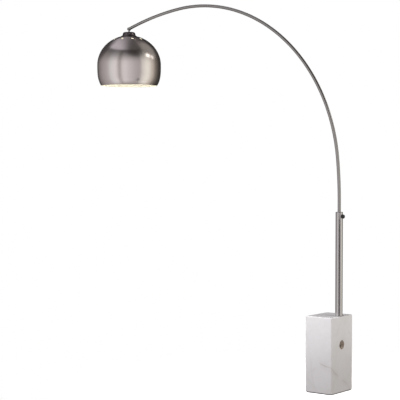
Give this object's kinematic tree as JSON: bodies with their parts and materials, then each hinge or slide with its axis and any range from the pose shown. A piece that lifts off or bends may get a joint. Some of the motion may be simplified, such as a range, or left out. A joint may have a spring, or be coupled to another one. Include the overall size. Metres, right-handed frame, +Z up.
{
  "type": "arc floor lamp",
  "caption": "Arc floor lamp: stone block base, steel post, long curved rod that slides and swivels in the post, and a domed brushed metal shade on a tilting knuckle.",
  "frame": {"origin": "on the floor, at the centre of the block's underside pad", "axes": "+Z up from the floor; the arm reaches along -X from the post; Y is across the arm, and the lifting hole runs along X"},
  "size_m": [1.6696, 0.375, 2.0978],
  "materials": {
    "marble": "polished white marble with faint grey veins",
    "post_steel": "brushed and lightly polished",
    "rod_steel": "polished steel tube",
    "shade_nickel": "spun metal with brushed nickel plating, cream enamel inside",
    "cap_nickel": "dark nickel plating",
    "hardware_steel": "plain zinc-plated steel",
    "knuckle_nickel": "nickel plated",
    "black_plastic": "moulded black plastic",
    "white_nylon": "natural nylon",
    "black_rubber": "matt rubber",
    "brass": "plain brass",
    "bulb_cap": "nickel-plated screw shell",
    "bulb_glass": "frosted, warm white"
  },
  "bodies": {
    "base": {"base_pad": "black_rubber", "marble_block": "marble", "anchor_insert": "brass", "anchor_stud": "hardware_steel", "foot_gasket": "black_rubber", "post_foot_plug": "hardware_steel", "foot_nut": "hardware_steel", "post_tube": "post_steel", "post_top_bush": "post_steel", "cord_grommet": "black_rubber", "clamp_insert": "hardware_steel"},
    "guide": {"rod_tail_bush": "white_nylon"},
    "arm": {"tail_clip_lower": "hardware_steel", "tail_clip_upper": "hardware_steel", "arc_rod_lower": "rod_steel", "arc_rod_middle": "rod_steel", "arc_rod_upper": "rod_steel", "arc_spigot_lower": "hardware_steel", "arc_spigot_upper": "hardware_steel", "joint_screw_lower": "hardware_steel", "joint_screw_upper": "hardware_steel", "lead_in_rod": "black_plastic", "knuckle_rod_half": "knuckle_nickel", "friction_washer": "black_rubber", "knuckle_screw": "hardware_steel", "knuckle_nut": "hardware_steel"},
    "head": {"knuckle_shade_half": "knuckle_nickel", "vent_cap": "cap_nickel", "cap_spacer": "hardware_steel", "shade_dome": "shade_nickel", "shade_washer": "hardware_steel", "shade_nut": "hardware_steel", "lamp_holder": "black_plastic", "holder_ring": "black_plastic", "bulb_base": "bulb_cap", "bulb_contact": "brass", "bulb_glass": "bulb_glass"},
    "tip": {"clamp_tip": "white_nylon"},
    "knob": {"clamp_screw": "hardware_steel", "clamp_knob": "black_plastic"}
  },
  "joints": [
    {"name": "arm_lift", "type": "slide", "parent": "base", "child": "guide", "axis": [0, 0, 1], "range_m": [-0.05, 0.2]},
    {"name": "arm_swivel", "type": "hinge", "parent": "guide", "child": "arm", "pos_m": [0.06, 0, 0.5575], "axis": [0, 0, 1], "range_deg": [-90, 90]},
    {"name": "shade_tilt", "type": "hinge", "parent": "arm", "child": "head", "pos_m": [-1.39112, 0, 1.98971], "axis": [0, 1, 0], "range_deg": [-20, 40]},
    {"name": "tip_slide", "type": "slide", "parent": "base", "child": "tip", "axis": [1, 0, 0], "range_m": [0, 0.0016]},
    {"name": "knob_turn", "type": "hinge", "parent": "tip", "child": "knob", "pos_m": [0.085, 0, 0.927], "axis": [1, 0, 0], "range_deg": [0, 540]}
  ],
  "couplings": [
    {"joint": "tip_slide", "follows": "knob_turn", "m_per_rad": 0.00015915}
  ]
}
